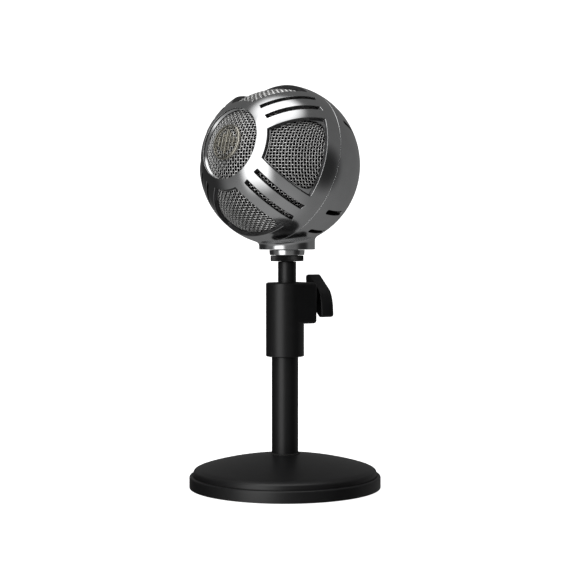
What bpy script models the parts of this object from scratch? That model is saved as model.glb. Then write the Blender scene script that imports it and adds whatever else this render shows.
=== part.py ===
"""Desktop ball microphone on a telescopic stand, modelled piece by piece.

Units are metres with +Z up. The origin is the centre of the base's underside.
The head faces -Y and leans back. Head pieces are modelled in the head's own frame, whose +Z is
the direction that the microphone listens in, and clamp pieces in a frame whose +X is the screw.
"""

import math

import bmesh
import bpy
from mathutils import Matrix, Vector

MM = 0.001
GAP = 0.3 * MM
WELD = 1e-6

# Base
BASE_R = 67.5 * MM
BASE_RIM_Z = 0.4 * MM
BASE_WALL_TOP = 8.2 * MM
BAND_R = 64.8 * MM
BAND_TOP = 12.4 * MM
COVER_T = 2.3 * MM
COVER_EYE_R = 10.6 * MM
DOME_EDGE = (61.5 * MM, 13.8 * MM)
DOME_TOP = (10.6 * MM, 23.75 * MM)
DOME_RISE = 1.3 * MM
PAD_T = 2.3 * MM
WEIGHT_R = 61.3 * MM
WEIGHT_FLOOR = (8.3 * MM, 12.0 * MM)

# Stand
TUBE_R = 9.36 * MM
TUBE_BORE_R = 8.36 * MM
TUBE_TOP = 117.7 * MM
CLAMP_R = 13.45 * MM
CLAMP_Z = (92.65 * MM, 144.65 * MM)
CLAMP_ROUND = 1.0 * MM
LUG_END = 18.8 * MM
LUG_HALF_WIDTH = 13.3 * MM
LUG_Z = 115.8 * MM
LUG_ROUND = 2.2 * MM
ROD_R = 6.4 * MM
ROD_BORE_R = 5.2 * MM
ROD_Z = (74.0 * MM, 159.3 * MM)
ROD_OFFSET = 1.65 * MM
SCREW_AZIMUTH = math.radians(74.5)
SCREW_Z = 134.8 * MM
SCREW_R = 3.0 * MM
GUIDE_R = 8.3 * MM
GUIDE_Z = 139.3 * MM
KNOB_FACE = 23.5 * MM
KNOB_T = 10.0 * MM
KNOB_HUB_R = 6.0 * MM
KNOB_HALF_WIDTH = 11.5 * MM
KNOB_TIP = 15.3 * MM
KNOB_SHOULDER = 14.3 * MM
KNOB_TIP_WIDTH = 3.8 * MM
KNOB_BENDS = [(-8.0 * MM, 3.0 * MM), (-10.7 * MM, -4.5 * MM)]

# Neck
COLLAR_R = 11.6 * MM
COLLAR_Z = (159.6 * MM, 163.6 * MM)
STUD_R = 7.7 * MM
NECK_RING_R = 12.4 * MM
FLANGE_R = 19.7 * MM
FLANGE_Z = 167.8 * MM
INSERT_R = 10.0 * MM
INSERT_TOP = 183.0 * MM

# Head
BALL_R = 56.06 * MM
SHELL_T = 2.8 * MM
BALL_Z = 226.7 * MM
BALL_FORWARD = 7.23 * MM
HEAD_TILT = math.radians(15.2)
FRONT_OPENING = math.radians(26.7)
WINDOW_FRONT = math.radians(34.3)
WINDOW_REAR = math.radians(77.6)
SPOKE_HALF_WIDTH = 14.1 * MM
SLOT_OFFSET = 5.24 * MM
SLOT_WIDTH = 3.0 * MM
VENT_OFFSET = 9.25 * MM
VENT_WIDTH = 3.7 * MM
VENT_ANGLES = (math.radians(98.5), math.radians(119.0))
DOME_MESH_R = 52.9 * MM
DOME_MESH_T = 0.8 * MM
LINER_R = 51.6 * MM
LINER_T = 1.0 * MM
MESH_EDGE_Z = 4.9 * MM
BADGE_R = 12.3 * MM
CHASSIS_R = 52.6 * MM
CHASSIS_HALF = 3.0 * MM
POST_RHO = 40.0 * MM
POST_R = 4.6 * MM
SCREW_SEAT_Z = -33.6 * MM
STANDOFF_RHO = 30.0 * MM
BOARD_Z = -30.0 * MM
BOARD_R = 34.6 * MM
BOARD_T = 1.6 * MM
SOCKET_Y = -20.0 * MM
SWITCH_Y = 18.0 * MM

INNER_R = BALL_R - SHELL_T
DIAGONALS = [math.radians(45 + 90 * k) for k in range(4)]
POST_ANGLES = [math.radians(60 + 120 * k) for k in range(3)]
BAR_ANGLES = [math.radians(90 * k) for k in range(4)]


# ---------------------------------------------------------------- helpers

def clear_scene():
    for obj in list(bpy.data.objects):
        bpy.data.objects.remove(obj, do_unlink=True)


def material(name, colour, roughness, metallic):
    mat = bpy.data.materials.new(name)
    mat.use_nodes = True
    shader = mat.node_tree.nodes["Principled BSDF"]
    shader.inputs["Base Color"].default_value = (*colour, 1.0)
    shader.inputs["Roughness"].default_value = roughness
    shader.inputs["Metallic"].default_value = metallic
    return mat


def frame(name, location, rotation):
    """An empty that carries the pieces modelled in its own directions."""
    empty = bpy.data.objects.new(name, None)
    empty.location = location
    empty.rotation_euler = rotation
    bpy.context.scene.collection.objects.link(empty)
    return empty


def make_object(name, bm, mat, parent=None, at=(0, 0, 0)):
    bmesh.ops.recalc_face_normals(bm, faces=bm.faces)
    mesh = bpy.data.meshes.new(name)
    bm.to_mesh(mesh)
    bm.free()
    mesh.shade_smooth()
    mesh.set_sharp_from_angle(angle=math.radians(35))
    if mat:
        mesh.materials.append(mat)
    obj = bpy.data.objects.new(name, mesh)
    obj.parent = parent
    obj.location = at
    bpy.context.scene.collection.objects.link(obj)
    return obj


def lathe(name, outline, steps, mat, parent=None, at=(0, 0, 0)):
    """Turn (radius, height) points round local Z. An outline that doesn't start on the axis is closed."""
    bm = bmesh.new()
    verts = [bm.verts.new((r, 0.0, z)) for r, z in outline]
    edges = [bm.edges.new(pair) for pair in zip(verts, verts[1:])]
    if outline[0][0] > 0:
        edges.append(bm.edges.new((verts[-1], verts[0])))
    bmesh.ops.spin(bm, geom=verts + edges, cent=(0, 0, 0), axis=(0, 0, 1), angle=math.tau, steps=steps)
    bmesh.ops.remove_doubles(bm, verts=bm.verts, dist=WELD)
    return make_object(name, bm, mat, parent, at)


def prism(name, outline, low, high, mat, parent=None, at=(0, 0, 0)):
    """Extrude a closed outline of (x, y) points along local Z from low to high."""
    bm = bmesh.new()
    face = bm.faces.new([bm.verts.new((x, y, low)) for x, y in outline])
    grown = bmesh.ops.extrude_face_region(bm, geom=[face])
    moved = [v for v in grown["geom"] if isinstance(v, bmesh.types.BMVert)]
    bmesh.ops.translate(bm, verts=moved, vec=(0, 0, high - low))
    return make_object(name, bm, mat, parent, at)


def block(name, low, high, mat, parent=None):
    """A box between two corners."""
    outline = [(low[0], low[1]), (high[0], low[1]), (high[0], high[1]), (low[0], high[1])]
    return prism(name, outline, low[2], high[2], mat, parent)


def rod_outline(radius, low, high, chamfer=0.0):
    """Half section of a solid round bar, from its top centre to its bottom centre."""
    return [(0, high), (radius - chamfer, high), (radius, high - chamfer),
            (radius, low + chamfer), (radius - chamfer, low), (0, low)] if chamfer else [
            (0, high), (radius, high), (radius, low), (0, low)]


def ring_outline(inner, outer, low, high):
    return [(inner, high), (outer, high), (outer, low), (inner, low)]


def arc(radius, start, end, count):
    """Points (radius, height) on a sphere's section, from one angle off +Z to another."""
    angles = [start + (end - start) * i / count for i in range(count + 1)]
    return [(radius * math.sin(a), radius * math.cos(a)) for a in angles]


def turned(points, angle):
    """Turn (x, y) points about the origin."""
    c, s = math.cos(angle), math.sin(angle)
    return [(c * x - s * y, s * x + c * y) for x, y in points]


def rectangle(x0, x1, y0, y1):
    return [(x0, y0), (x1, y0), (x1, y1), (x0, y1)]


def boolean(obj, tool, operation):
    """Cut with, or join on, a hidden tool object."""
    tool.hide_render = True
    tool.display_type = "WIRE"
    mod = obj.modifiers.new(operation.title(), "BOOLEAN")
    mod.operation = operation
    mod.solver = "EXACT"
    mod.object = tool


def joined(name, tools):
    """One tool out of several under the same parent whose bodies stay clear of each other."""
    bm = bmesh.new()
    for tool in tools:
        tool.data.transform(tool.matrix_basis)
        bm.from_mesh(tool.data)
    parent = tools[0].parent
    for tool in tools:
        bpy.data.objects.remove(tool, do_unlink=True)
    return make_object(name, bm, None, parent)


def at_posts(make):
    """Call make(index, place) for each of the three shell screws."""
    places = [(POST_RHO * math.cos(a), POST_RHO * math.sin(a), 0) for a in POST_ANGLES]
    return [make(k, place) for k, place in enumerate(places)]


def round_edges(obj, width, segments=2, limit=40):
    mod = obj.modifiers.new("Bevel", "BEVEL")
    mod.width = width
    mod.segments = segments
    mod.limit_method = "ANGLE"
    mod.angle_limit = math.radians(limit)


def aim_x(obj):
    """Lay a piece that was turned round Z along local X."""
    obj.rotation_euler = (0, math.pi / 2, 0)


# ---------------------------------------------------------------- base

def cover_outline():
    """Section of the base cover: wall, ledge, band, dome and its inside."""
    shoulder = [(BASE_R, BASE_WALL_TOP - 0.6 * MM), (BASE_R - 0.5 * MM, BASE_WALL_TOP + 0.3 * MM),
                (BAND_R + 0.4 * MM, BASE_WALL_TOP + 0.8 * MM), (BAND_R, BASE_WALL_TOP + 1.1 * MM)]
    band = [(BAND_R - 0.3 * MM, BAND_TOP - 0.9 * MM), (BAND_R - 1.2 * MM, BAND_TOP + 0.4 * MM)]
    inside = [(r, z - COVER_T) for r, z in reversed(dome_points())]
    step = [(BASE_R - COVER_T - 2.8 * MM, 10.0 * MM), (BASE_R - COVER_T - 2.8 * MM, 8.0 * MM),
            (BASE_R - COVER_T, 6.0 * MM), (BASE_R - COVER_T, BASE_RIM_Z)]
    return [(BASE_R, BASE_RIM_Z)] + shoulder + band + dome_points() + inside + step


def dome_points():
    """The cover's top, nearly a cone, from its edge up to the eye."""
    count = 5
    points = []
    for i in range(count + 1):
        t = i / count
        r = DOME_EDGE[0] + (DOME_TOP[0] - DOME_EDGE[0]) * t
        z = DOME_EDGE[1] + (DOME_TOP[1] - DOME_EDGE[1]) * t + DOME_RISE * math.sin(math.pi * t ** 0.8)
        points.append((r, z))
    return points


def weight_outline():
    floor_low, floor_high = WEIGHT_FLOOR
    hole, recess, socket = 4.3 * MM, 10.0 * MM, TUBE_R + GAP
    bottom = PAD_T + GAP
    return [(hole, floor_low), (recess, floor_low), (recess, bottom), (WEIGHT_R, bottom),
            (WEIGHT_R, 8.6 * MM), (WEIGHT_R - 3 * MM, 10.4 * MM), (socket + 2 * MM, 19.4 * MM),
            (socket, 19.4 * MM), (socket, floor_high), (hole, floor_high)]


def make_base(mats):
    lathe("base_cover", cover_outline(), 48, mats["satin_black"])
    lathe("base_weight", weight_outline(), 40, mats["cast_iron"])
    lathe("base_pad", ring_outline(12 * MM, BASE_R - COVER_T - 2 * GAP, 0, PAD_T), 48, mats["rubber"])
    floor_low, floor_high = WEIGHT_FLOOR
    washer_low = floor_low - 1.6 * MM
    lathe("base_washer", ring_outline(4.3 * MM, 9.0 * MM, washer_low, floor_low - GAP), 24, mats["steel"])
    head_high = washer_low - GAP
    bolt = [(0, 21 * MM), (3.9 * MM, 21 * MM), (3.9 * MM, head_high), (7 * MM, head_high),
            (7 * MM, head_high - 4 * MM), (0, head_high - 4 * MM)]
    lathe("base_bolt", bolt, 24, mats["steel"])
    plug = [(0, 26 * MM), (8 * MM, 26 * MM), (8 * MM, floor_high + GAP), (4.2 * MM, floor_high + GAP),
            (4.2 * MM, 22 * MM), (0, 22 * MM)]
    lathe("tube_plug", plug, 24, mats["steel"])
    lathe("foot_ring", ring_outline(TUBE_R + GAP, COVER_EYE_R - GAP, 21.5 * MM, 24.6 * MM), 32, mats["rubber"])


# ---------------------------------------------------------------- stand

def make_tube(mats):
    tube_foot = WEIGHT_FLOOR[1] + GAP
    lathe("outer_tube", ring_outline(TUBE_BORE_R, TUBE_R, tube_foot, TUBE_TOP), 32, mats["satin_black"])


def make_clamp_body(mats, clamp):
    low, high = CLAMP_Z
    body = lathe("clamp_body", rod_outline(CLAMP_R, low, high, CLAMP_ROUND), 48, mats["satin_black"], clamp)
    lug = block("lug_tool", (0, -LUG_HALF_WIDTH, LUG_Z), (LUG_END, LUG_HALF_WIDTH, high - CLAMP_ROUND / 4),
                None, clamp)
    round_edges(lug, LUG_ROUND)
    boolean(body, lug, "UNION")
    seat = lathe("tube_seat_tool", rod_outline(TUBE_R + GAP, low - MM, TUBE_TOP + GAP), 40, None, clamp)
    bore = lathe("rod_bore_tool", rod_outline(ROD_R + GAP, low, high + MM), 32, None, clamp, (ROD_OFFSET, 0, 0))
    guide = lathe("guide_seat_tool", rod_outline(GUIDE_R + GAP, GUIDE_Z - GAP, high + MM), 32, None, clamp,
                  (ROD_OFFSET, 0, 0))
    screw = lathe("screw_hole_tool", rod_outline(SCREW_R + GAP, 0, LUG_END + MM), 24, None, clamp,
                  (0, 0, SCREW_Z))
    grub = lathe("grub_hole_tool", rod_outline(2.3 * MM, 6 * MM, CLAMP_R + MM), 16, None, clamp,
                 (0, 0, low + 9 * MM))
    aim_x(screw)
    aim_x(grub)
    for tool in (seat, bore, guide, screw, grub):
        boolean(body, tool, "DIFFERENCE")


def make_clamp_fittings(mats, clamp):
    low, high = CLAMP_Z
    grub = lathe("clamp_grub_screw", rod_outline(2.0 * MM, TUBE_R + GAP, CLAMP_R - 0.5 * MM), 12, mats["steel"],
                 clamp, (0, 0, low + 9 * MM))
    aim_x(grub)
    lathe("guide_ring", ring_outline(ROD_R + GAP, GUIDE_R, GUIDE_Z, high - GAP), 32, mats["nylon"], clamp,
          (ROD_OFFSET, 0, 0))
    pad_start = ROD_OFFSET + ROD_R + GAP
    pad = lathe("pressure_pad", rod_outline(SCREW_R, pad_start, pad_start + 2 * MM), 24, mats["brass"], clamp,
                (0, 0, SCREW_Z))
    screw_start = pad_start + 2 * MM + GAP
    screw = lathe("clamp_screw", rod_outline(SCREW_R, screw_start, KNOB_FACE + 5 * MM), 24, mats["steel"], clamp,
                  (0, 0, SCREW_Z))
    aim_x(pad)
    aim_x(screw)


def knob_outline():
    """The wing's outline, the same when turned half round."""
    half = KNOB_BENDS + [(-KNOB_HALF_WIDTH, -KNOB_SHOULDER), (KNOB_TIP_WIDTH - KNOB_HALF_WIDTH, -KNOB_TIP)]
    return half + [(-x, -y) for x, y in half]


def make_knob(mats, clamp):
    # Local Z of the knob is the screw's direction; its outline lies across it.
    knob = prism("clamp_knob", turned(knob_outline(), math.pi / 2), KNOB_FACE, KNOB_FACE + KNOB_T,
                 mats["satin_black"], clamp, (0, 0, SCREW_Z))
    aim_x(knob)
    round_edges(knob, 1.0 * MM)
    hub = lathe("hub_tool", rod_outline(KNOB_HUB_R, LUG_END + GAP, KNOB_FACE + 2 * MM), 24, None, clamp,
                (0, 0, SCREW_Z))
    hole = lathe("knob_hole_tool", rod_outline(SCREW_R + GAP, LUG_END - MM, KNOB_FACE + 5 * MM + GAP), 24, None,
                 clamp, (0, 0, SCREW_Z))
    aim_x(hub)
    aim_x(hole)
    boolean(knob, hub, "UNION")
    boolean(knob, hole, "DIFFERENCE")


def make_rod(mats, rod_at):
    low, high = ROD_Z
    spigot_r, spigot_top = 4.5 * MM, 168.0 * MM
    outline = [(ROD_BORE_R, low), (ROD_R, low), (ROD_R, high), (spigot_r, high), (spigot_r, spigot_top),
               (3.4 * MM, spigot_top), (3.4 * MM, high - 2 * MM), (ROD_BORE_R, high - 4 * MM)]
    lathe("inner_rod", outline, 32, mats["satin_black"], None, rod_at)
    plug = [(0, low + 8 * MM), (ROD_BORE_R - GAP, low + 8 * MM), (ROD_BORE_R - GAP, low - GAP),
            (ROD_R, low - GAP), (ROD_R, low - 2 * MM), (0, low - 2 * MM)]
    lathe("rod_plug", plug, 24, mats["nylon"], None, rod_at)


# ---------------------------------------------------------------- neck

def make_neck(mats, rod_at, head):
    low, high = COLLAR_Z
    bore_r, bore_top, stud_top = 4.8 * MM, 168.6 * MM, 176.5 * MM
    collar = [(0, stud_top), (STUD_R, stud_top), (STUD_R, high), (COLLAR_R, high), (COLLAR_R, low),
              (bore_r, low), (bore_r, bore_top), (0, bore_top)]
    lathe("thread_collar", collar, 40, mats["satin_black"], None, rod_at)
    ring_low, ring_high = high + GAP, FLANGE_Z - GAP
    ring = [(STUD_R + GAP, ring_high), (NECK_RING_R + 0.1 * MM, ring_high), (NECK_RING_R - 0.2 * MM, ring_low),
            (STUD_R + GAP, ring_low)]
    lathe("neck_ring", ring, 36, mats["chrome"], None, rod_at)
    flange = lathe("neck_flange", ring_outline(INSERT_R + GAP, FLANGE_R, FLANGE_Z, 180 * MM), 40, mats["chrome"],
                   None, rod_at)
    ball = lathe("ball_tool", arc(BALL_R + 1.5 * GAP, 0, math.pi, 24), 48, None, head)
    boolean(flange, ball, "DIFFERENCE")
    lathe("thread_insert", ring_outline(STUD_R + GAP, INSERT_R, FLANGE_Z + GAP, INSERT_TOP), 32, mats["brass"],
          None, rod_at)
    hexagon = [(13.5 * MM * math.cos(a), 13.5 * MM * math.sin(a)) for a in (math.pi * k / 3 for k in range(6))]
    nut = prism("neck_nut", hexagon, 178.4 * MM, 182.4 * MM, mats["steel"], None, rod_at)
    hole = lathe("nut_hole_tool", rod_outline(INSERT_R + GAP, 177 * MM, 184 * MM), 32, None, None, rod_at)
    boolean(nut, hole, "DIFFERENCE")


# ---------------------------------------------------------------- head shells

def window_outline():
    """One window in plan along the head's axis: a front arc between two edges parallel to the spokes."""
    front_rho = BALL_R * math.sin(WINDOW_FRONT)
    reach = SPOKE_HALF_WIDTH * math.sqrt(2)
    half = (math.sqrt(2 * front_rho ** 2 - reach ** 2) - reach) / 2
    swing = math.atan2(half, half + reach)
    front = [(front_rho * math.cos(a), front_rho * math.sin(a)) for a in (-swing, -swing / 3, swing / 3, swing)]
    far = BALL_R * 0.6
    return front + [(far + reach, far), (BALL_R * 1.1, far), (BALL_R * 1.1, -far), (far + reach, -far)]


def make_front_shell(mats, head):
    opening_rho = BALL_R * math.sin(FRONT_OPENING)
    inner_start = math.asin(opening_rho / INNER_R)
    seam = GAP / 2
    outer_end = math.acos(seam / BALL_R)
    inner_end = math.acos(seam / INNER_R)
    outline = arc(BALL_R, FRONT_OPENING, outer_end, 7) + arc(INNER_R, inner_end, inner_start, 7)
    shell = lathe("front_shell", outline, 48, mats["chrome"], head)
    window_floor = BALL_R * math.cos(WINDOW_REAR)
    slot_start = BALL_R * math.sin(WINDOW_FRONT)
    tools = [prism("window_tool", turned(window_outline(), angle), window_floor, BALL_R, None, head)
             for angle in BAR_ANGLES]
    for angle in DIAGONALS:
        for middle in (-SLOT_OFFSET, SLOT_OFFSET):
            plan = rectangle(slot_start, BALL_R * 1.1, middle - SLOT_WIDTH / 2, middle + SLOT_WIDTH / 2)
            tools.append(prism("slot_tool", turned(plan, angle), window_floor, BALL_R, None, head))
    boolean(shell, joined("front_openings_tool", tools), "DIFFERENCE")


def make_rear_shell(mats, head, rod_at):
    seam = -GAP / 2
    start = math.acos(seam / BALL_R)
    outline = [(0, seam)] + arc(BALL_R, start, math.pi, 9)
    shell = lathe("rear_shell", outline, 48, mats["chrome"], head)
    cavity = lathe("cavity_tool", [(0, 2 * MM)] + arc(INNER_R, math.acos(2 * MM / INNER_R), math.pi, 9), 48,
                   None, head)
    posts = at_posts(lambda k, at: lathe("post", rod_outline(POST_R, -BALL_R, -CHASSIS_HALF - GAP), 16,
                                         None, head, at))
    boolean(cavity, joined("posts_tool", posts), "DIFFERENCE")
    boolean(shell, cavity, "DIFFERENCE")
    neck = lathe("neck_hole_tool", rod_outline(INSERT_R + GAP, 165 * MM, 190 * MM), 32, None, None, rod_at)
    boolean(shell, neck, "DIFFERENCE")
    boolean(shell, joined("rear_openings_tool", vent_tools(head) + rear_opening_tools(head)), "DIFFERENCE")
    outline = [(0, 0), (1.6 * MM, 0), (1.6 * MM, SCREW_SEAT_Z), (3.2 * MM, SCREW_SEAT_Z), (3.2 * MM, -BALL_R),
               (0, -BALL_R)]
    holes = at_posts(lambda k, at: lathe("post_hole", outline, 16, None, head, at))
    boolean(shell, joined("post_holes_tool", holes), "DIFFERENCE")


def vent_tools(head):
    """Pairs of fore-and-aft vents in line with the front spokes."""
    first, last = (BALL_R * math.cos(a) for a in VENT_ANGLES)
    tools = []
    for angle in DIAGONALS:
        for middle in (-VENT_OFFSET, VENT_OFFSET):
            plan = rectangle(BALL_R * 0.8, BALL_R * 1.1, middle - VENT_WIDTH / 2, middle + VENT_WIDTH / 2)
            tools.append(prism("vent_tool", turned(plan, angle), last, first, None, head))
    return tools


def rear_opening_tools(head):
    """Openings for the cable socket and for the pattern switch's slider."""
    return [block("socket_opening", (-6.4 * MM, SOCKET_Y - 5.9 * MM, -BALL_R),
                  (6.4 * MM, SOCKET_Y + 5.9 * MM, -40 * MM), None, head),
            block("slider_opening", (-6.2 * MM, SWITCH_Y - 2.0 * MM, -BALL_R),
                  (6.2 * MM, SWITCH_Y + 2.0 * MM, -40 * MM), None, head)]


# ---------------------------------------------------------------- head insides

def dome_outline(outer, thickness):
    """Section of a thin dome that ends at the mesh's edge."""
    inner = outer - thickness
    return arc(outer, 0, math.acos(MESH_EDGE_Z / outer), 8) + arc(inner, math.acos(MESH_EDGE_Z / inner), 0, 8)


def make_mesh(mats, head):
    lathe("mesh_dome", dome_outline(DOME_MESH_R, DOME_MESH_T), 36, mats["mesh_grey"], head)
    lathe("mesh_liner", dome_outline(LINER_R, LINER_T), 36, mats["black_cloth"], head)
    low = CHASSIS_HALF + GAP
    lathe("mesh_ring", ring_outline(50 * MM, CHASSIS_R, low, low + 1.2 * MM), 40, mats["steel"], head)


def make_badge(mats, head):
    """A ring with five level bars on a spine, standing on the front of the mesh."""
    low, bar_low, top = 51.9 * MM, DOME_MESH_R + GAP, 54.1 * MM
    badge = lathe("badge", ring_outline(BADGE_R - 1.3 * MM, BADGE_R, low, top), 40, mats["nickel"], head)
    spine = BADGE_R - 0.6 * MM
    boolean(badge, block("spine_tool", (-spine, -0.5 * MM, bar_low), (spine, 0.5 * MM, top), None, head), "UNION")
    bars = []
    for k, height in enumerate((3.5, 6.5, 8.5, 6.5, 3.5)):
        x = (k - 2) * 3.8 * MM
        bars.append(block("level_bar", (x - 0.9 * MM, -height * MM, bar_low),
                          (x + 0.9 * MM, height * MM, top + 0.2 * MM), None, head))
    boolean(badge, joined("level_bars_tool", bars), "UNION")


def make_chassis(mats, head):
    """Ring and cross bars that carry the mesh, the capsule and the board, with three screw lugs."""
    low, high = -CHASSIS_HALF, CHASSIS_HALF
    ring = lathe("chassis_ring", ring_outline(46 * MM, CHASSIS_R, low, high), 48, mats["aluminium"], head)
    bars = [block("bar_x_tool", (-48 * MM, -5 * MM, low + 0.2 * MM), (48 * MM, 5 * MM, high - 0.2 * MM), None, head),
            block("bar_y_tool", (-5 * MM, -48 * MM, low + 0.4 * MM), (5 * MM, 48 * MM, high - 0.4 * MM), None, head)]
    for bar in bars:
        boolean(ring, bar, "UNION")
    lug_outline = rod_outline(7 * MM, low + 0.1 * MM, high - 0.1 * MM)
    lugs = at_posts(lambda k, at: lathe("screw_lug", lug_outline, 24, None, head, at))
    boolean(ring, joined("screw_lugs_tool", lugs), "UNION")
    hole_outline = rod_outline(1.6 * MM, low - MM, high + MM)
    holes = at_posts(lambda k, at: lathe("lug_hole", hole_outline, 12, None, head, at))
    boolean(ring, joined("lug_holes_tool", holes), "DIFFERENCE")


def make_capsule(mats, head):
    low = CHASSIS_HALF + GAP
    cup = [(0, low + 2 * MM), (13.2 * MM, low + 2 * MM), (13.2 * MM, low + 12 * MM), (15.5 * MM, low + 12 * MM),
           (15.5 * MM, low), (0, low)]
    lathe("capsule_cradle", cup, 32, mats["rubber"], head)
    lathe("capsule", rod_outline(12.9 * MM, low + 2 * MM + GAP, low + 15 * MM, 0.8 * MM), 32, mats["brass"], head)


def make_electronics(mats, head):
    back = BOARD_Z - BOARD_T
    lathe("circuit_board", rod_outline(BOARD_R, back, BOARD_Z), 40, mats["board_green"], head)
    for k, angle in enumerate(BAR_ANGLES):
        at = (STANDOFF_RHO * math.cos(angle), STANDOFF_RHO * math.sin(angle), 0)
        lathe(f"standoff_{k + 1}", rod_outline(2.5 * MM, BOARD_Z + GAP, -CHASSIS_HALF - GAP), 12, mats["brass"],
              head, at)
        lathe(f"board_screw_{k + 1}", rod_outline(2.6 * MM, back - 2.2 * MM, back - GAP, 0.4 * MM), 12,
              mats["steel"], head, at)
    make_socket(mats, head, back - GAP)
    top = back - GAP
    block("mode_switch", (-6.5 * MM, SWITCH_Y - 3.5 * MM, top - 6.5 * MM), (6.5 * MM, SWITCH_Y + 3.5 * MM, top),
          mats["matte_black"], head)
    slider = block("mode_slider", (-1.7 * MM, SWITCH_Y - 1.5 * MM, -54.6 * MM),
                   (1.7 * MM, SWITCH_Y + 1.5 * MM, top - 6.5 * MM - GAP), mats["matte_black"], head)
    round_edges(slider, 0.4 * MM, 1)


def make_socket(mats, head, top):
    """The upright cable socket, with the cavity that the plug goes into."""
    mouth = -49.4 * MM
    socket = block("usb_socket", (-6 * MM, SOCKET_Y - 5.5 * MM, mouth), (6 * MM, SOCKET_Y + 5.5 * MM, top),
                   mats["steel"], head)
    cavity = block("socket_cavity_tool", (-4.3 * MM, SOCKET_Y - 4.0 * MM, mouth - MM),
                   (4.3 * MM, SOCKET_Y + 4.0 * MM, mouth + 10 * MM), None, head)
    boolean(socket, cavity, "DIFFERENCE")


def make_shell_screws(mats, head):
    seat, head_t, tip = SCREW_SEAT_Z - GAP, 2.0 * MM, 1.0 * MM
    outline = [(0, tip), (1.3 * MM, tip), (1.3 * MM, seat), (2.9 * MM, seat), (2.9 * MM, seat - head_t + 0.5 * MM),
               (2.2 * MM, seat - head_t), (0, seat - head_t)]
    at_posts(lambda k, at: lathe(f"shell_screw_{k + 1}", outline, 12, mats["steel"], head, at))


# ---------------------------------------------------------------- the whole

def make_materials():
    return {
        "satin_black": material("satin_black", (0.012, 0.012, 0.013), 0.38, 0.0),
        "chrome": material("chrome", (0.62, 0.63, 0.64), 0.08, 1.0),
        "mesh_grey": material("mesh_grey", (0.45, 0.45, 0.45), 0.35, 1.0),
        "nickel": material("nickel", (0.58, 0.56, 0.50), 0.25, 1.0),
        "steel": material("steel", (0.55, 0.56, 0.57), 0.35, 1.0),
        "cast_iron": material("cast_iron", (0.09, 0.09, 0.09), 0.70, 0.5),
        "rubber": material("rubber", (0.015, 0.015, 0.015), 0.80, 0.0),
        "nylon": material("nylon", (0.05, 0.05, 0.05), 0.55, 0.0),
        "brass": material("brass", (0.70, 0.52, 0.22), 0.30, 1.0),
        "aluminium": material("aluminium", (0.70, 0.70, 0.71), 0.40, 1.0),
        "board_green": material("board_green", (0.03, 0.16, 0.07), 0.45, 0.0),
        "matte_black": material("matte_black", (0.02, 0.02, 0.02), 0.60, 0.0),
        "black_cloth": material("black_cloth", (0.01, 0.01, 0.01), 0.95, 0.0),
    }


def main():
    clear_scene()
    mats = make_materials()
    rod_at = Matrix.Rotation(SCREW_AZIMUTH, 3, "Z") @ Vector((ROD_OFFSET, 0, 0))
    clamp = frame("clamp_frame", (0, 0, 0), (0, 0, SCREW_AZIMUTH))
    head = frame("head_frame", (rod_at.x, rod_at.y - BALL_FORWARD, BALL_Z), (math.pi / 2 - HEAD_TILT, 0, 0))
    make_base(mats)
    make_tube(mats)
    make_clamp_body(mats, clamp)
    make_clamp_fittings(mats, clamp)
    make_knob(mats, clamp)
    make_rod(mats, rod_at)
    make_neck(mats, rod_at, head)
    make_front_shell(mats, head)
    make_rear_shell(mats, head, rod_at)
    make_mesh(mats, head)
    make_badge(mats, head)
    make_chassis(mats, head)
    make_capsule(mats, head)
    make_electronics(mats, head)
    make_shell_screws(mats, head)


main()
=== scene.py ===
import math

import bmesh
import bpy
import numpy as np
from mathutils import Matrix, Vector
from mathutils.geometry import delaunay_2d_cdt


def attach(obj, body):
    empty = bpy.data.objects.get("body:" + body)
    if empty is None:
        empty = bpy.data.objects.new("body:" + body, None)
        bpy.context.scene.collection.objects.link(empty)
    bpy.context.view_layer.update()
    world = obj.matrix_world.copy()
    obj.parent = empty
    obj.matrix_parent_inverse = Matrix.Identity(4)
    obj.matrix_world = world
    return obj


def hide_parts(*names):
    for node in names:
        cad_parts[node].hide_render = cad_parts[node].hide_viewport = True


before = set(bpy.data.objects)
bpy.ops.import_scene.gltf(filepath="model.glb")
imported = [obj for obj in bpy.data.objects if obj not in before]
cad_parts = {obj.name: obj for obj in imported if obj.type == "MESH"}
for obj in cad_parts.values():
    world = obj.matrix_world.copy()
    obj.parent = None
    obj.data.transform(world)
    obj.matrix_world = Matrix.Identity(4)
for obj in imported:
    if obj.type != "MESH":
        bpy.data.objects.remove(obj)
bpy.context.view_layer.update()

# All shapes below are in millimetres, and turned into metres when a piece is made.
MM = 0.001
TILT = math.radians(15.2)
BALL_R = 56.06
INNER_R = 53.26
BALL = (0.441, -5.640, 226.7)
ROD = (0.441, 1.590)
SCREW_TURN = math.radians(74.5)
SCREW_Z = 134.8

HEAD = Matrix.Translation(Vector(BALL) * MM) @ Matrix.Rotation(math.pi / 2 - TILT, 4, "X")
CLAMP = Matrix.Rotation(SCREW_TURN, 4, "Z")
KNOB = CLAMP @ Matrix.Translation((0, 0, SCREW_Z * MM)) @ Matrix.Rotation(math.pi / 2, 4, "Y")
AT_ROD = Matrix.Translation((ROD[0] * MM, ROD[1] * MM, 0))
DIAGONALS = [math.radians(45 + 90 * k) for k in range(4)]
BARS = [math.radians(90 * k) for k in range(4)]
POSTS = [(40 * math.cos(math.radians(a)), 40 * math.sin(math.radians(a))) for a in (60, 180, 300)]

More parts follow.
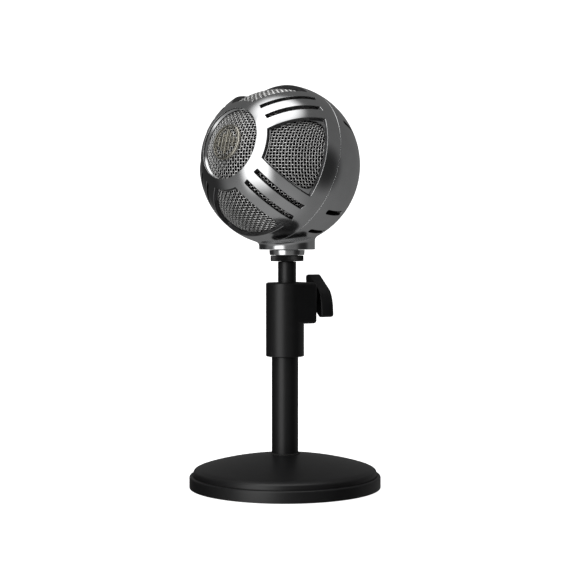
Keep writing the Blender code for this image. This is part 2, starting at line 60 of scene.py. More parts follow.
# The ball's shells. Windows and slots run from FRONT_EDGE, a distance from the head's axis, to REAR_EDGE, which
# is a height above the ball's centre.
EDGE = 0.28
SEAM = 0.04
OPENING_R = BALL_R * math.sin(math.radians(26.7))
FRONT_EDGE = BALL_R * math.sin(math.radians(34.3))
REAR_EDGE = BALL_R * math.cos(math.radians(77.6))
SPOKE_HALF_WIDTH = 14.1
SILL_R = INNER_R + 0.7
SLOT_MIDDLE, SLOT_HALF_WIDTH = 5.24, 1.7
VENT_MIDDLE, VENT_HALF_WIDTH = 9.25, 1.85
VENT_ANGLES = (math.radians(98.5), math.radians(119))
NECK_HOLE_R = 10.3
POST_HOLE_R = 3.2

# The woven mesh and the cloth behind it. MESH_EDGE is a height above the ball's centre.
NET_R = 52.33
PITCH = 2.1
WIRE_R = 0.28
WAVE = 0.29
MESH_EDGE = 4.9
LINER_R = 51.6

# The clamp, whose X is the screw's direction, and its knob.
CLAMP_R, CLAMP_LOW, CLAMP_HIGH = 13.45, 92.65, 144.65
LUG_END, LUG_HALF_WIDTH, LUG_LOW = 18.8, 13.3, 115.8
SCREW_HOLE_R = 3.3
KNOB_BACK, KNOB_FRONT = 23.5, 33.5


# ---------------------------------------------------------------- materials

def new_material(name, colour, roughness, metallic):
    mat = bpy.data.materials.new(name)
    mat.use_nodes = True
    shader = mat.node_tree.nodes["Principled BSDF"]
    shader.inputs["Base Color"].default_value = (*colour, 1.0)
    shader.inputs["Roughness"].default_value = roughness
    shader.inputs["Metallic"].default_value = metallic
    return mat


def noise(mat, size, detail):
    """A noise whose grains are about size millimetres wide."""
    nodes, links = mat.node_tree.nodes, mat.node_tree.links
    where = nodes.new("ShaderNodeTexCoord")
    tex = nodes.new("ShaderNodeTexNoise")
    tex.inputs["Scale"].default_value = 1 / (size * MM)
    tex.inputs["Detail"].default_value = detail
    links.new(where.outputs["Object"], tex.inputs["Vector"])
    return tex.outputs["Fac"]


def vary_colour(mat, grain, low, high):
    nodes, links = mat.node_tree.nodes, mat.node_tree.links
    ramp = nodes.new("ShaderNodeValToRGB")
    ramp.color_ramp.elements[0].position = 0.3
    ramp.color_ramp.elements[1].position = 0.7
    ramp.color_ramp.elements[0].color = (*low, 1)
    ramp.color_ramp.elements[1].color = (*high, 1)
    links.new(grain, ramp.inputs["Fac"])
    links.new(ramp.outputs["Color"], nodes["Principled BSDF"].inputs["Base Color"])


def vary_roughness(mat, grain, low, high):
    nodes, links = mat.node_tree.nodes, mat.node_tree.links
    spread = nodes.new("ShaderNodeMapRange")
    spread.inputs["From Min"].default_value = 0.3
    spread.inputs["From Max"].default_value = 0.7
    spread.inputs["To Min"].default_value = low
    spread.inputs["To Max"].default_value = high
    links.new(grain, spread.inputs["Value"])
    links.new(spread.outputs["Result"], nodes["Principled BSDF"].inputs["Roughness"])


def bump(mat, grain, height):
    """Surface grain, height in millimetres."""
    nodes, links = mat.node_tree.nodes, mat.node_tree.links
    node = nodes.new("ShaderNodeBump")
    node.inputs["Distance"].default_value = height * MM
    links.new(grain, node.inputs["Height"])
    links.new(node.outputs["Normal"], nodes["Principled BSDF"].inputs["Normal"])


def finish(name, metallic, patch_mm, low, high, rough_low, rough_high, grain_mm, height):
    """Colour that varies in wide patches, and a fine grain in the roughness and the surface."""
    mat = new_material(name, high, rough_high, metallic)
    vary_colour(mat, noise(mat, patch_mm, 2.0), low, high)
    grain = noise(mat, grain_mm, 3.0)
    vary_roughness(mat, grain, rough_low, rough_high)
    bump(mat, grain, height)
    return mat


# Darkest and lightest colour, least and most roughness, and the grain's width and height in millimetres.
METALS = {
    # Darker, rougher chrome for the walls of the openings and the shell's inside; on the walls this dark is
    # painted shade.
    "chrome": ((0.66, 0.665, 0.67), (0.70, 0.705, 0.71), 0.13, 0.17, 0.5, 0.0004),
    "chrome_painted_shade": ((0.10, 0.10, 0.102), (0.16, 0.16, 0.163), 0.40, 0.50, 0.5, 0.002),
    "mesh_grey": ((0.80, 0.80, 0.795), (0.90, 0.90, 0.89), 0.30, 0.40, 0.4, 0.004),
    "nickel": ((0.54, 0.515, 0.45), (0.80, 0.77, 0.68), 0.22, 0.34, 0.6, 0.01),
    "steel": ((0.42, 0.42, 0.43), (0.55, 0.55, 0.56), 0.28, 0.40, 0.3, 0.004),
    "brass": ((0.55, 0.38, 0.15), (0.68, 0.50, 0.22), 0.25, 0.38, 0.4, 0.004),
    "aluminium": ((0.55, 0.55, 0.56), (0.66, 0.66, 0.67), 0.35, 0.48, 0.25, 0.004),
}
DULLS = {
    "satin_black": ((0.0075, 0.0075, 0.008), (0.0095, 0.0095, 0.01), 0.36, 0.42, 0.35, 0.006),
    "cast_iron": ((0.035, 0.035, 0.036), (0.07, 0.07, 0.07), 0.6, 0.85, 1.2, 0.12),
    "rubber": ((0.010, 0.010, 0.010), (0.016, 0.016, 0.016), 0.65, 0.85, 0.5, 0.03),
    "nylon": ((0.018, 0.018, 0.018), (0.026, 0.026, 0.026), 0.45, 0.60, 0.6, 0.008),
    "board_green": ((0.015, 0.09, 0.04), (0.03, 0.15, 0.07), 0.35, 0.5, 2.5, 0.01),
    "matte_black": ((0.010, 0.010, 0.010), (0.015, 0.015, 0.015), 0.5, 0.62, 0.4, 0.01),
    "black_cloth": ((0.002, 0.002, 0.002), (0.004, 0.004, 0.004), 0.9, 1.0, 0.3, 0.08),
}


def make_materials():
    mats = {name: finish(name, 1.0, 9.0, *look) for name, look in METALS.items()}
    mats.update({name: finish(name, 0.0, 6.0, *look) for name, look in DULLS.items()})
    mats["rubber"].node_tree.nodes["Principled BSDF"].inputs["Sheen Weight"].default_value = 0.1
    # Felt: its loose fibres give no shine.
    mats["black_cloth"].node_tree.nodes["Principled BSDF"].inputs["Specular IOR Level"].default_value = 0.05
    return mats


MATS = make_materials()


# ---------------------------------------------------------------- mesh helpers

def add_piece(name, verts, faces, slot, body, nodes, place=Matrix(), sharp=32):
    """A closed mesh from points in millimetres, riding on a body and standing for CAD nodes."""
    mesh = bpy.data.meshes.new(name)
    mesh.from_pydata([place @ (Vector(v) * MM) for v in verts], [], faces)
    bm = bmesh.new()
    bm.from_mesh(mesh)
    bmesh.ops.remove_doubles(bm, verts=bm.verts, dist=1e-7)
    bmesh.ops.recalc_face_normals(bm, faces=bm.faces)
    bm.to_mesh(mesh)
    bm.free()
    mesh.shade_smooth()
    mesh.set_sharp_from_angle(angle=math.radians(sharp))
    return add_object(name, mesh, slot, body, nodes)


def add_object(name, mesh, slot, body, nodes):
    mesh.materials.append(MATS[slot])
    obj = bpy.data.objects.new(name, mesh)
    bpy.context.scene.collection.objects.link(obj)
    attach(obj, body)
    if nodes:
        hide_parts(*nodes)
    return obj


def rounded(corners, steps=5, closed=True):
    """Corners are (x, y, rounding). Each one becomes a smooth bend that starts its rounding away."""
    out = []
    count = len(corners)
    for k, (x, y, reach) in enumerate(corners):
        here = Vector((x, y))
        before, after = Vector(corners[k - 1][:2]), Vector(corners[(k + 1) % count][:2])
        reach = min(reach, (before - here).length * 0.48, (after - here).length * 0.48)
        if reach < 0.01 or (not closed and k in (0, count - 1)):
            out.append((x, y))
            continue
        start = here + (before - here).normalized() * reach
        end = here + (after - here).normalized() * reach
        for s in range(steps + 1):
            t = s / steps
            point = start * (1 - t) ** 2 + here * 2 * t * (1 - t) + end * t * t
            out.append((point.x, point.y))
    return out


def skin(rings, closed=True):
    """Verts and faces of a surface through rings set in a circle. Each ring is closed too, if asked."""
    count, long = len(rings), len(rings[0])
    verts = [p for ring in rings for p in ring]
    last = long if closed else long - 1
    faces = [(i * long + j, (i + 1) % count * long + j, (i + 1) % count * long + (j + 1) % long,
              i * long + (j + 1) % long) for i in range(count) for j in range(last)]
    return verts, faces


def lathe(profile, steps):
    """Turn (radius, height) points round Z. A profile from axis to axis stays open."""
    turns = [math.tau * i / steps for i in range(steps)]
    rings = [[(r * math.cos(a), r * math.sin(a), z) for r, z in profile] for a in turns]
    return skin(rings, closed=profile[0][0] > 0)


def offset(loop, distance):
    """Move a closed loop of (x, y) points outwards along its own normals."""
    pts = np.array(loop, float)
    area = np.sum(pts[:, 0] * np.roll(pts[:, 1], -1) - np.roll(pts[:, 0], -1) * pts[:, 1])
    step = np.roll(pts, -1, 0) - pts
    side = np.stack([step[:, 1], -step[:, 0]], 1) * (1 if area > 0 else -1)
    side /= np.maximum(np.linalg.norm(side, axis=1, keepdims=True), 1e-9)
    mitre = side + np.roll(side, 1, 0)
    mitre /= np.maximum(np.sum(mitre * mitre, axis=1, keepdims=True), 0.5) / 2
    return pts + mitre * distance


def slab(outline, low, high, edge, both=False, segments=3):
    """A plate along Z with its top edge (and bottom edge, if asked) rounded."""
    turns = [math.pi / 2 * s / segments for s in range(segments + 1)]
    levels = [(0, low)]
    if both:
        levels = [(edge * (1 - math.sin(a)), low + edge * (1 - math.cos(a))) for a in turns]
    levels += [(edge * (1 - math.cos(a)), high - edge * (1 - math.sin(a))) for a in turns]
    loops = [[(x, y, z) for x, y in offset(outline, -inset)] for inset, z in levels]
    count = len(outline)
    verts = [p for loop in loops for p in loop]
    faces = []
    for below in range(0, len(verts) - count, count):
        above = below + count
        for i in range(count):
            after = (i + 1) % count
            faces.append((below + i, below + after, above + after, above + i))
    faces += [tuple(range(count)), tuple(range(len(verts) - count, len(verts)))]
    return verts, faces


def together(*parts):
    verts, faces = [], []
    for more_verts, more_faces in parts:
        start = len(verts)
        verts += list(more_verts)
        faces += [tuple(start + i for i in face) for face in more_faces]
    return verts, faces


def moved(part, place):
    """Move points by a matrix whose shift is in millimetres."""
    verts, faces = part
    return [tuple(place @ Vector(v)) for v in verts], faces


def carve(base, steps):
    """Join or cut closed parts in turn. Each step is (operation, part)."""
    objects = []
    for verts, faces in [base] + [part for _, part in steps]:
        mesh = bpy.data.meshes.new("carve")
        mesh.from_pydata(verts, [], faces)
        bm = bmesh.new()
        bm.from_mesh(mesh)
        bmesh.ops.remove_doubles(bm, verts=bm.verts, dist=1e-4)
        bmesh.ops.recalc_face_normals(bm, faces=bm.faces)
        bm.to_mesh(mesh)
        bm.free()
        obj = bpy.data.objects.new("carve", mesh)
        bpy.context.scene.collection.objects.link(obj)
        objects.append(obj)
    for (operation, _), tool in zip(steps, objects[1:]):
        mod = objects[0].modifiers.new("carve", "BOOLEAN")
        mod.operation = operation
        mod.solver = "EXACT"
        mod.object = tool
    shape = objects[0].evaluated_get(bpy.context.evaluated_depsgraph_get()).to_mesh()
    result = [tuple(v.co) for v in shape.vertices], [tuple(p.vertices) for p in shape.polygons]
    for obj in objects:
        bpy.data.objects.remove(obj, do_unlink=True)
    return result


def circle(radius, steps, centre=(0, 0)):
    turns = [math.tau * k / steps for k in range(steps)]
    return [(centre[0] + radius * math.cos(a), centre[1] + radius * math.sin(a)) for a in turns]


def rod(radius, low, high):
    return lathe([(0, high), (radius, high), (radius, low), (0, low)], 48)


# ---------------------------------------------------------------- ball shells

def to_plan(point, side):
    """A point of the ball, seen flat: its distance from the pole along the ball, and its direction."""
    angle = math.acos(max(-1, min(1, side * point[2] / math.sqrt(sum(c * c for c in point)))))
    rho = math.hypot(point[0], point[1]) or 1e-9
    return (BALL_R * angle * point[0] / rho, BALL_R * angle * point[1] / rho)


def to_ball(plan, radius, side):
    along = math.hypot(*plan) or 1e-9
    angle = along / BALL_R
    flat = radius * math.sin(angle) / along
    return (flat * plan[0], flat * plan[1], side * radius * math.cos(angle))


def inside(points, loop):
    """Which of the points lie in a closed loop."""
    x, y = points[:, 0], points[:, 1]
    hit = np.zeros(len(points), bool)
    for (x0, y0), (x1, y1) in zip(loop, np.roll(loop, -1, 0)):
        if y0 == y1:
            continue
        crosses = (y0 > y) != (y1 > y)
        hit ^= crosses & (x < (x1 - x0) * (y - y0) / (y1 - y0) + x0)
    return hit


def fill(rim, holes, spacing):
    """Triangles that fill the flat rim round its holes, with evenly spread points between."""
    loops = [np.array(rim)] + [np.array(h) for h in holes]
    edges, points = [], []
    for loop in loops:
        start = len(points)
        points += [tuple(p) for p in loop]
        edges += [(start + k, start + (k + 1) % len(loop)) for k in range(len(loop))]
    reach = np.linalg.norm(loops[0], axis=1).min()
    spread = []
    for ring in range(1, int(reach / spacing)):
        count = max(6, int(math.tau * ring))
        turn = 0.5 * (ring % 2)
        spread += [(ring * spacing * math.cos(math.tau * (k + turn) / count),
                    ring * spacing * math.sin(math.tau * (k + turn) / count)) for k in range(count)]
    spread = np.array(spread)
    border = np.array(points)
    near = np.array([np.min((border[:, 0] - p[0]) ** 2 + (border[:, 1] - p[1]) ** 2) for p in spread])
    spread = spread[near > (spacing * 0.6) ** 2]
    for hole in loops[1:]:
        spread = spread[~inside(spread, hole)]
    points += [tuple(p) for p in spread]
    out, _, faces, origin, _, _ = delaunay_2d_cdt([Vector(p) for p in points], edges, [], 0, 1e-7)
    index = [ids[0] for ids in origin]
    middles = np.array([sum((out[i] for i in f), Vector((0, 0))) / 3 for f in faces])
    keep = inside(middles, loops[0])
    for hole in loops[1:]:
        keep &= ~inside(middles, hole)
    return points, [tuple(index[i] for i in f) for f, k in zip(faces, keep) if k]


# What lies between each loop of an opening and the next one in, by the number of loops.
WALL_KINDS = {2: ("wall",), 3: ("wall", "lip"), 4: ("wall", "ledge", "wall")}


def shell(name, side, openings, node):
    """Half of the ball's shell. An opening is a list of loops in the head's frame, from outside to inside."""
    count = 300
    verts, faces, kinds, normals = [], [], [], []

    def add(points, directions):
        start = len(verts)
        verts.extend(points)
        normals.extend(directions)
        return list(range(start, len(verts)))

    def strip(low, high, kind):
        for k in range(len(low)):
            after = (k + 1) % len(low)
            faces.append((low[k], low[after], high[after], high[k]))
            kinds.append(kind)

    def outward(points):
        return [tuple(Vector(p).normalized()) for p in points]

    def border(flat, walls, wall_normals):
        """Rounded edge from the outer face into a wall; walls is the loop at the wall's outer end."""
        chain = []
        for share in (0.0, 0.35, 0.7, 1.0):
            a = math.pi / 2 * share
            out, down = EDGE * (1 - math.sin(a)), EDGE * (1 - math.cos(a))
            loop = [to_ball(p, BALL_R - down, side) for p in offset(flat, out)]
            mixed = [Vector(p).normalized() * math.cos(a) + Vector(n) * math.sin(a)
                     for p, n in zip(loop, wall_normals)]
            chain.append(add(loop, [tuple(m.normalized()) for m in mixed]))
        for low, high in zip(chain, chain[1:]):
            strip(low, high, "edge")
        return chain

    rims, inner_loops, outer_holes = [], [], []
    turns = [math.tau * k / count for k in range(count)]
    rim = []
    for share in (0.0, 0.35, 0.7, 1.0):
        a = math.pi / 2 * share
        z = SEAM + EDGE * (1 - math.sin(a))
        r = math.sqrt(BALL_R ** 2 - z * z) - EDGE * (1 - math.cos(a))
        way = [(math.cos(a) * math.cos(t), math.cos(a) * math.sin(t), -side * math.sin(a)) for t in turns]
        rim.append(add([(r * math.cos(t), r * math.sin(t), side * z) for t in turns], way))
    for low, high in zip(rim, rim[1:]):
        strip(low, high, "edge")
    inner_rim_r = math.sqrt(INNER_R ** 2 - SEAM ** 2)
    down = [(0, 0, -side)] * count
    rim_inner = add([(inner_rim_r * math.cos(t), inner_rim_r * math.sin(t), side * SEAM) for t in turns], down)
    strip(rim[-1], rim_inner, "wall")

    for loops in openings:
        outer = loops[0]
        flat = [to_plan(p, side) for p in outer]
        wall_normals = []
        for k, point in enumerate(outer):
            run = Vector(outer[(k + 1) % len(outer)]) - Vector(outer[k - 1])
            drop = Vector(loops[1][k]) - Vector(point)
            way = run.cross(drop).normalized()
            centre = sum((Vector(p) for p in outer), Vector()) / len(outer)
            wall_normals.append(tuple(way if way.dot(centre - Vector(point)) > 0 else -way))
        chain = border(flat, outer, wall_normals)
        outer_holes.append((chain[0], [tuple(p) for p in offset(flat, EDGE)]))
        bottom = chain[-1]
        for k, loop in enumerate(loops[1:]):
            above, bottom = bottom, add(loop, wall_normals)
            strip(above, bottom, WALL_KINDS[len(loops)][k])
        inner_loops.append((bottom, [to_plan(p, side) for p in loops[-1]]))

    for rim_ids, holes, radius, spacing, kind in (
            (rim[0], outer_holes, BALL_R, 1.9, "outer"), (rim_inner, inner_loops, INNER_R, 3.2, "inner")):
        flat_rim = [to_plan(verts[i], side) for i in rim_ids]
        points, triangles = fill(flat_rim, [h for _, h in holes], spacing)
        known = rim_ids + [i for ids, _ in holes for i in ids]
        fresh = [to_ball(p, radius, side) for p in points[len(known):]]
        ids = known + add(fresh, outward(fresh))
        faces.extend(tuple(ids[i] for i in t) for t in triangles)
        kinds.extend([kind] * len(triangles))

    mesh = bpy.data.meshes.new(name)
    mesh.from_pydata([HEAD @ (Vector(v) * MM) for v in verts], [], faces)
    bm = bmesh.new()
    bm.from_mesh(mesh)
    bmesh.ops.recalc_face_normals(bm, faces=bm.faces)
    bm.to_mesh(mesh)
    bm.free()
    mesh.shade_smooth()
    turn = HEAD.to_3x3()
    ways = [turn @ Vector(n) for n in normals]
    corner = []
    for poly, kind in zip(mesh.polygons, kinds):
        for v in poly.vertices:
            if kind == "lip":
                x, y, _ = verts[v]
                corner.append(tuple(turn @ Vector((-x, -y, 0.9 * math.hypot(x, y))).normalized()))
            elif kind in ("inner", "ledge"):
                corner.append(tuple(turn @ Vector(verts[v]).normalized() * (-1 if kind == "inner" else 1)))
            else:
                corner.append(tuple(ways[v]))
    mesh.normals_split_custom_set(corner)
    obj = add_object(name, mesh, "chrome", "rod_and_head", [node])
    # The second material, the darker chrome, goes on the opening walls and the inner faces; on the walls it is
    # painted shade.
    mesh.materials.append(MATS["chrome_painted_shade"])
    for poly, kind in zip(mesh.polygons, kinds):
        poly.material_index = 1 if kind in ("wall", "inner") else 0
    return obj


def on_ball(x, y, radius, side):
    return (x, y, side * math.sqrt(max(radius ** 2 - x * x - y * y, 0)))


def window(angle):
    """One side window: a front arc, two straight sides and a flat rear edge, with rounded inner corners."""
    reach = SPOKE_HALF_WIDTH * math.sqrt(2)

    def half_angle(rho):
        half = (math.sqrt(2 * rho ** 2 - reach ** 2) - reach) / 2
        return math.atan2(half, half + reach)

    def outline(radius):
        far = math.sqrt(radius ** 2 - REAR_EDGE ** 2)
        a, b = half_angle(FRONT_EDGE), half_angle(far)
        pts = [(FRONT_EDGE, -a + 2 * a * k / 28) for k in range(28)]
        rhos = [FRONT_EDGE + (far - FRONT_EDGE) * k / 30 for k in range(30)]
        pts += [(rho, half_angle(rho)) for rho in rhos]
        pts += [(far, b - 2 * b * k / 64) for k in range(64)]
        pts += [(rho, -half_angle(rho)) for rho in reversed(rhos[1:] + [far])]
        return [on_ball(rho * math.cos(t + angle), rho * math.sin(t + angle), radius, 1) for rho, t in pts]

    outer, sill = outline(BALL_R), outline(SILL_R)
    inner = [to_ball(p, INNER_R, 1) for p in offset([to_plan(p, 1) for p in sill], -0.15)]
    for corner in (58, 122):
        span = 9
        start, middle, end = (Vector(inner[corner + d]) for d in (-span, 0, span))
        for k in range(2 * span + 1):
            t = k / (2 * span)
            bend = start * (1 - t) ** 2 + middle * 2 * t * (1 - t) + end * t * t
            inner[corner - span + k] = tuple(bend.normalized() * INNER_R)
    sill_edge = [tuple(Vector(p) * SILL_R / INNER_R) for p in inner]
    return [outer, sill, sill_edge, inner]


def slot(angle, middle):
    """A square-ended slot along a spoke."""
    low, high = middle - SLOT_HALF_WIDTH, middle + SLOT_HALF_WIDTH
    loops = []
    for radius in (BALL_R, INNER_R):
        far = math.sqrt(radius ** 2 - REAR_EDGE ** 2 - middle ** 2)
        pts = []
        outline = rounded([(FRONT_EDGE, low, 0.25), (far, low, 0.25),
                           (far, high, 0.25), (FRONT_EDGE, high, 0.25)], 3)
        for (x0, y0), (x1, y1) in zip(outline, outline[1:] + outline[:1]):
            long = math.hypot(x1 - x0, y1 - y0)
            parts = 20 if long > 8 else (3 if long > 1 else 1)
            pts += [(x0 + (x1 - x0) * k / parts, y0 + (y1 - y0) * k / parts) for k in range(parts)]
        c, s = math.cos(angle), math.sin(angle)
        loops.append([on_ball(c * x - s * y, s * x + c * y, radius, 1) for x, y in pts])
    return loops


def vent(angle, middle):
    """A fore-and-aft vent with round ends on the rear half, cut straight at the ball's centre."""
    first, last = (a * BALL_R for a in VENT_ANGLES)
    half = VENT_HALF_WIDTH
    outline = rounded([(first, middle - half, half), (last, middle - half, half), (last, middle + half, half),
                       (first, middle + half, half)], 6)
    pts = []
    for (x0, y0), (x1, y1) in zip(outline, outline[1:] + outline[:1]):
        parts = 10 if math.hypot(x1 - x0, y1 - y0) > 5 else 1
        pts += [(x0 + (x1 - x0) * k / parts, y0 + (y1 - y0) * k / parts) for k in range(parts)]
    outer = []
    for run, across in pts:
        z = BALL_R * math.cos(run / BALL_R)
        along = math.sqrt(BALL_R ** 2 - z * z - across ** 2)
        c, s = math.cos(angle), math.sin(angle)
        outer.append((c * along - s * across, s * along + c * across, z))
    return [outer, [tuple(Vector(p) * INNER_R / BALL_R) for p in outer]]


def rear_hole(outline):
    """An opening in the rear half with walls along the head's axis."""
    pts = []
    for (x0, y0), (x1, y1) in zip(outline, outline[1:] + outline[:1]):
        parts = max(1, int(math.hypot(x1 - x0, y1 - y0) / 1.2))
        pts += [(x0 + (x1 - x0) * k / parts, y0 + (y1 - y0) * k / parts) for k in range(parts)]
    return [[on_ball(x, y, radius, -1) for x, y in pts] for radius in (BALL_R, INNER_R)]


def neck_hole():
    """The hole for the threaded neck, upright in the world and so slanted in the head."""
    back = HEAD.inverted()
    loops = []
    for radius in (BALL_R, INNER_R):
        loop = []
        for x, y in circle(NECK_HOLE_R, 60):
            dx, dy = ROD[0] + x - BALL[0], ROD[1] + y - BALL[1]
            z = BALL[2] - math.sqrt(radius ** 2 - dx * dx - dy * dy)
            loop.append(tuple(back @ (Vector((BALL[0] + dx, BALL[1] + dy, z)) * MM) / MM))
        loops.append(loop)
    return loops


def make_shells():
    lips = ((BALL_R, OPENING_R), (BALL_R - 1.3, OPENING_R), (INNER_R, OPENING_R - 1.0))
    front = [[[on_ball(x, y, radius, 1) for x, y in circle(rho, 150)] for radius, rho in lips]]
    front += [window(a) for a in BARS]
    front += [slot(a, m) for a in DIAGONALS for m in (-SLOT_MIDDLE, SLOT_MIDDLE)]
    shell("front_shell_fine", 1, front, "front_shell")
    socket = rounded([(-6.4, -25.9, 0.8), (6.4, -25.9, 0.8), (6.4, -14.1, 0.8), (-6.4, -14.1, 0.8)])
    switch = rounded([(-6.2, 16.0, 1.9), (6.2, 16.0, 1.9), (6.2, 20.0, 1.9), (-6.2, 20.0, 1.9)])
    rear = [vent(a, m) for a in DIAGONALS for m in (-VENT_MIDDLE, VENT_MIDDLE)]
    rear += [neck_hole(), rear_hole(socket), rear_hole(switch)]
    rear += [rear_hole(circle(POST_HOLE_R, 32, post)) for post in POSTS]
    shell("rear_shell_fine", -1, rear, "rear_shell")


def make_posts():
    """Screw posts inside the rear shell, each ending in the shell's thickness."""
    parts = []
    for post in POSTS:
        rings = []
        for x, y in circle(1.0, 32):
            ends = [(post[0] + r * x, post[1] + r * y) for r in (3.22, 4.6)]
            ring = [(px, py, -math.sqrt((INNER_R + 1.3) ** 2 - px * px - py * py)) for px, py in ends]
            bore = ((4.6, -3.3), (1.6, -3.3), (1.6, -33.6), (3.22, -33.6))
            ring += [(post[0] + r * x, post[1] + r * y, z) for r, z in bore]
            rings.append(ring)
        parts.append(skin(rings))
    add_piece("rear_shell_posts", *together(*parts), "chrome", "rod_and_head", ["rear_shell"], HEAD)


# ---------------------------------------------------------------- woven mesh

def net():
    """Crossings of a square weave drawn over a ball: every cell keeps its four sides, and only shears."""
    step = PITCH / NET_R
    reach = int(math.radians(102) / step)
    grid = {}
    for k in range(-reach, reach + 1):
        grid[k, 0] = Vector((math.sin(k * step), -math.cos(k * step), 0))
        grid[0, k] = Vector((0, -math.cos(k * step), math.sin(k * step)))
    for si in (1, -1):
        for sj in (1, -1):
            for i in range(1, reach + 1):
                for j in range(1, reach + 1):
                    near = [grid.get(((i - a) * si, (j - b) * sj)) for a, b in ((1, 1), (0, 1), (1, 0))]
                    if None in near:
                        continue
                    p, a, b = near
                    if (a - p).cross(b - p).length < 0.33 * step * step:
                        continue
                    n = a.cross(b).normalized()
                    grid[i * si, j * sj] = p - n * (2 * p.dot(n))
    return grid, reach


def tube(path, sides=6):
    path = np.array(path)
    run = np.gradient(path, axis=0)
    run /= np.linalg.norm(run, axis=1, keepdims=True)
    up = path / np.linalg.norm(path, axis=1, keepdims=True)
    across = np.cross(run, up)
    across /= np.linalg.norm(across, axis=1, keepdims=True)
    up = np.cross(across, run)
    turns = [math.tau * k / sides for k in range(sides)]
    rings = np.stack([path + WIRE_R * (math.cos(t) * up + math.sin(t) * across) for t in turns], 1)
    verts = [tuple(v) for v in rings.reshape(-1, 3).tolist()]
    long = len(path)
    faces = []
    for i in range(long - 1):
        low, high = i * sides, (i + 1) * sides
        faces += [(low + k, low + (k + 1) % sides, high + (k + 1) % sides, high + k) for k in range(sides)]
    faces += [tuple(range(sides)), tuple(range((long - 1) * sides, long * sides))]
    return verts, faces


def wires(grid, reach, along_rows):
    """Every wire of one direction as a tube that passes over and under the others."""
    front = Vector((0, -math.cos(TILT), math.sin(TILT)))
    tubes = []
    for j in range(-reach, reach + 1):
        run = []
        for i in range(-reach, reach + 2):
            key = (i, j) if along_rows else (j, i)
            point = grid.get(key)
            if point is not None and point.dot(front) * NET_R > MESH_EDGE + 0.7:
                run.append((point, i))
                continue
            if len(run) > 2:
                tubes.append(tube(weave(run, j, along_rows)))
            run = []
    return tubes


def weave(run, j, along_rows):
    path = []
    for (a, i), (b, _) in zip(run, run[1:]):
        sign = (1 if (i + j) % 2 else -1) * (1 if along_rows else -1)
        for k in range(3):
            t = k / 3
            way = a.lerp(b, t).normalized()
            path.append(tuple(way * (NET_R + WAVE * sign * math.cos(math.pi * t))))
    path.append(tuple(run[-1][0] * NET_R))
    return path


def make_mesh_dome():
    grid, reach = net()
    centre = Matrix.Translation(Vector(BALL) * MM)
    for name, along_rows in (("mesh_wires_level", True), ("mesh_wires_upright", False)):
        add_piece(name, *together(*wires(grid, reach, along_rows)), "mesh_grey", "rod_and_head", ["mesh_dome"],
                  centre, sharp=80)
    high = MESH_EDGE + 1.4
    ring = rounded([(51.0, MESH_EDGE, 0.2), (52.9, MESH_EDGE, 0.2), (52.9, high, 0.2), (51.0, high, 0.2)])
    add_piece("mesh_hem", *lathe(ring, 160), "mesh_grey", "rod_and_head", ["mesh_dome"], HEAD)
    liner = dome_section(LINER_R, 24) + dome_section(LINER_R - 1, 24)[::-1]
    add_piece("mesh_liner_fine", *lathe(liner, 96), "black_cloth", "rod_and_head", ["mesh_liner"], HEAD)


def dome_section(radius, count):
    turns = [math.acos(MESH_EDGE / radius) * k / count for k in range(count + 1)]
    return [(radius * math.sin(a), radius * math.cos(a)) for a in turns]


# ---------------------------------------------------------------- badge

def make_badge():
    """A plain ring with five level bars on a spine."""
    ring = rounded([(11.4, 52.0, 0.1), (12.3, 51.9, 0.1), (12.3, 53.3, 0.4), (11.4, 53.6, 0.4)])
    groove = rounded([(9.9, 52.3, 0.1), (10.4, 52.2, 0.1), (10.4, 53.0, 0.2), (9.9, 53.1, 0.2)])
    parts = [lathe(ring, 120), lathe(groove, 120)]
    spine = rounded([(-10.9, -0.55, 0.2), (10.9, -0.55, 0.2), (10.9, 0.55, 0.2), (-10.9, 0.55, 0.2)], 3)
    parts.append(slab(spine, 52.4, 53.7, 0.2))
    for k, height in enumerate((3.5, 6.0, 8.6, 6.0, 3.5)):
        x = (k - 2) * 3.4
        left, right = x - 0.85, x + 0.85
        bar = rounded([(left, -height, 0.8), (right, -height, 0.8),
                       (right, height, 0.8), (left, height, 0.8)], 4)
        parts.append(slab(bar, 52.3, 54.2 - 0.02 * k, 0.3))
    add_piece("badge_fine", *together(*parts), "nickel", "rod_and_head", ["badge"], HEAD)


# ---------------------------------------------------------------- neck

def make_neck():
    teeth = 84
    rings = []
    for k in range(teeth * 4):
        a = math.tau * k / (teeth * 4)
        dip = (0.0, 0.22, 0.44, 0.22)[k % 4]
        ring = []
        for r, z in ((11.1, 159.6), (11.6 - dip, 160.0), (11.6 - dip, 163.2), (11.1, 163.6), (4.8, 163.6),
                     (4.8, 159.6)):
            r = min(r, 11.1) if z in (159.6, 163.6) else r
            ring.append((r * math.cos(a), r * math.sin(a), z))
        rings.append(ring)
    stud = [(0, 176.5), (7.0, 176.5), (7.7, 175.8), (7.7, 163.0), (5.0, 163.0), (5.0, 168.6), (0, 168.6)]
    add_piece("thread_collar_fine", *together(skin(rings), lathe(stud, 72)), "satin_black", "rod_and_head",
              ["thread_collar"], AT_ROD)
    ring = rounded([(8.0, 163.9, 0.05), (12.2, 163.9, 0.35), (12.5, 167.5, 0.35), (8.0, 167.5, 0.05)])
    add_piece("neck_ring_fine", *lathe(ring, 120), "chrome", "rod_and_head", ["neck_ring"], AT_ROD)
    make_flange()


